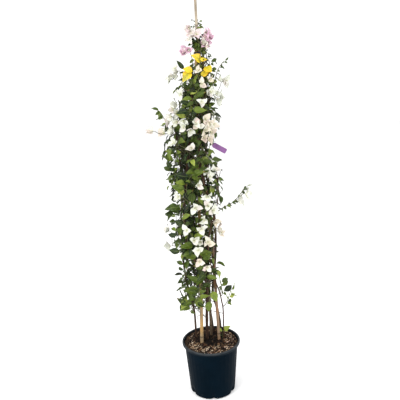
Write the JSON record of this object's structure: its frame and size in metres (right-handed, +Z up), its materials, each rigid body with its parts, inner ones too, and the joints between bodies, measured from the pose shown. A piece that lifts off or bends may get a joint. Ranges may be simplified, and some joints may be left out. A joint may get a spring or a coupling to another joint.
{
  "type": "potted climbing plant",
  "caption": "White bougainvillea trained up three bamboo canes in a black nursery pot, with sprays of papery bracts, leafy shoots and a hanging label",
  "frame": {"origin": "middle of the flat underside of the pot", "axes": "+Z up along the pot's axis, -Y towards the viewer, +X to the right"},
  "size_m": [0.4083, 0.266, 1.7452],
  "materials": {
    "pot_plastic": "near-black navy moulded plastic, matte, greyer on the rolled rim",
    "compost": "dark bark and coir compost with tan, cream and pinkish chips",
    "bamboo": "dry tan bamboo with darker knots and grey weathering",
    "bark": "dark brown ridged bark",
    "green_leaf": "dark to yellow-green leaves, softly glossy, with paler veins",
    "yellow_leaf": "bright yellow leaves, partly green",
    "white_bract": "papery white bracts with fine greenish veins",
    "cream_bract": "papery cream bracts with greenish veins",
    "pink_bract": "papery bracts, white blushed lilac pink",
    "black_tie": "black band, matte",
    "blue_tie": "thin blue-grey tie",
    "purple_label": "plain purple label, satin, with nothing printed"
  },
  "bodies": {
    "root": {"pot": "pot_plastic", "soil": "compost", "cane_left": "bamboo", "cane_right": "bamboo", "cane_back": "bamboo", "stem_trunk": "bark", "stem_left": "bark", "stem_right": "bark", "stem_thin": "bark", "stem_back": "bark", "label": "purple_label", "shoot_crown": "green_leaf", "shoot_high_back": "green_leaf", "shoot_high_front": "green_leaf", "shoot_high_left": "green_leaf", "shoot_high_right": "green_leaf", "shoot_left_tip": "green_leaf", "shoot_low_back": "green_leaf", "shoot_low_front": "green_leaf", "shoot_low_left": "green_leaf", "shoot_low_right": "green_leaf", "shoot_low_sprig": "green_leaf", "shoot_mid_back": "green_leaf", "shoot_mid_front": "green_leaf", "shoot_mid_left": "green_leaf", "shoot_mid_right": "green_leaf", "shoot_right_arch": "green_leaf", "shoot_right_long": "green_leaf", "shoot_top": "green_leaf", "shoot_top_right": "green_leaf", "shoot_upper_back": "green_leaf", "shoot_upper_front": "green_leaf", "spray_back_high": "white_bract", "spray_back_low": "white_bract", "spray_bud_left": "cream_bract", "spray_centre_high": "cream_bract", "spray_cream_big": "cream_bract", "spray_front_1140": "white_bract", "spray_front_830": "white_bract", "spray_front_900": "white_bract", "spray_front_980": "white_bract", "spray_front_high": "white_bract", "spray_front_left": "white_bract", "spray_left_faint": "white_bract", "spray_left_high": "white_bract", "spray_low_front": "cream_bract", "spray_pink_left": "pink_bract", "spray_right_1020": "white_bract", "spray_right_790": "cream_bract", "spray_right_high": "white_bract", "spray_right_long": "white_bract", "spray_right_mid": "white_bract", "spray_top_cream": "cream_bract", "spray_top_pink": "pink_bract", "spray_white_left": "white_bract", "tie_black": "black_tie", "tie_blue": "blue_tie", "yellow_leaf_left": "yellow_leaf", "yellow_leaf_right": "yellow_leaf", "yellow_leaf_top": "yellow_leaf"}
  },
  "joints": []
}
